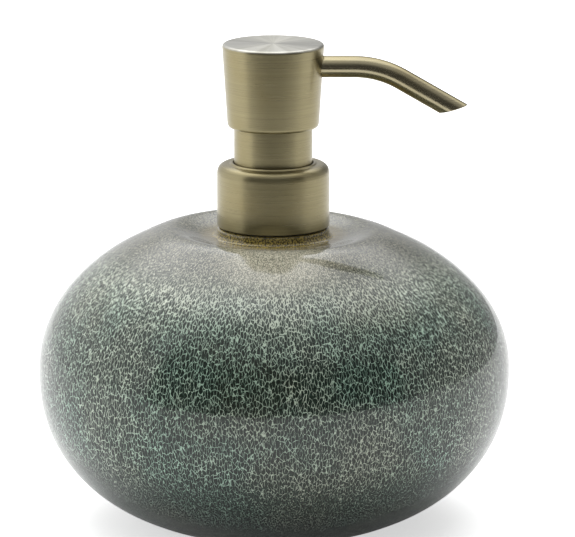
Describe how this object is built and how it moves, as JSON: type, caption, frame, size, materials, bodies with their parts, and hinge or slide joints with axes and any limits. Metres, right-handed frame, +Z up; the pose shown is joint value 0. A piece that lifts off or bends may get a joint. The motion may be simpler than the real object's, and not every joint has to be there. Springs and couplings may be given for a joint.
{
  "type": "soap pump dispenser",
  "caption": "Squat round glazed stoneware bottle with a screw-on antique brass lotion pump: smooth collar, sliding sleeve, flared press head and bent spout.",
  "frame": {"origin": "centre of the foot ring, on the surface that the bottle stands on", "axes": "+Z up along the pump's axis; +X the way the spout points at rest"},
  "size_m": [0.1302, 0.1302, 0.1327],
  "materials": {
    "glaze": "glossy reactive glaze, pale network over dark green",
    "antique_brass": "brushed, antiqued",
    "white_plastic": "moulded",
    "clear_plastic": "extruded, translucent",
    "dark_plastic": "moulded",
    "seal_rubber": "soft",
    "gasket_foam": "fine foam",
    "steel": "bright"
  },
  "bodies": {
    "bottle": {"ceramic_bottle": "glaze", "neck_insert": "white_plastic"},
    "neck_seal": {"neck_gasket": "gasket_foam"},
    "pump_engine": {"pump_housing": "white_plastic", "stem_guide": "white_plastic", "stem_wiper": "seal_rubber", "sleeve_cover": "antique_brass", "ball_retainer": "white_plastic", "return_spring": "steel", "dip_tube": "clear_plastic"},
    "inlet_valve": {"inlet_ball": "steel"},
    "collar": {"collar_cover": "antique_brass", "collar_liner": "white_plastic"},
    "plunger": {"piston": "white_plastic"},
    "head": {"head_shell": "antique_brass", "head_core": "dark_plastic", "stem": "white_plastic", "piston_retainer": "white_plastic", "spout_tube": "antique_brass", "spout_liner": "clear_plastic", "spout_seal": "seal_rubber"},
    "outlet_valve": {"outlet_ball": "steel"}
  },
  "joints": [
    {"name": "pump_lift", "type": "slide", "parent": "bottle", "child": "neck_seal", "axis": [0, 0, 1], "range_m": [0, 0.11]},
    {"name": "pump_rise", "type": "slide", "parent": "neck_seal", "child": "pump_engine", "axis": [0, 0, 1], "range_m": [0, 0.0053]},
    {"name": "collar_turn", "type": "hinge", "parent": "pump_engine", "child": "collar", "pos_m": [0, 0, 0.0821], "axis": [0, 0, 1], "range_deg": [0, 450]},
    {"name": "head_press", "type": "slide", "parent": "pump_engine", "child": "plunger", "axis": [0, 0, -1], "range_m": [0, 0.0095], "stiffness_N_per_m": 550, "springref_m": -0.012, "deforming": ["return_spring"]},
    {"name": "head_swivel", "type": "hinge", "parent": "plunger", "child": "head", "pos_m": [0, 0, 0.1095], "axis": [0, 0, 1], "continuous": true},
    {"name": "inlet_ball_lift", "type": "slide", "parent": "pump_engine", "child": "inlet_valve", "axis": [0, 0, 1], "range_m": [0, 0.0012]},
    {"name": "outlet_ball_lift", "type": "slide", "parent": "head", "child": "outlet_valve", "axis": [0, 0, 1], "range_m": [0, 0.001]}
  ],
  "couplings": [
    {"joint": "pump_rise", "follows": "collar_turn", "m_per_rad": 0.0006737}
  ]
}
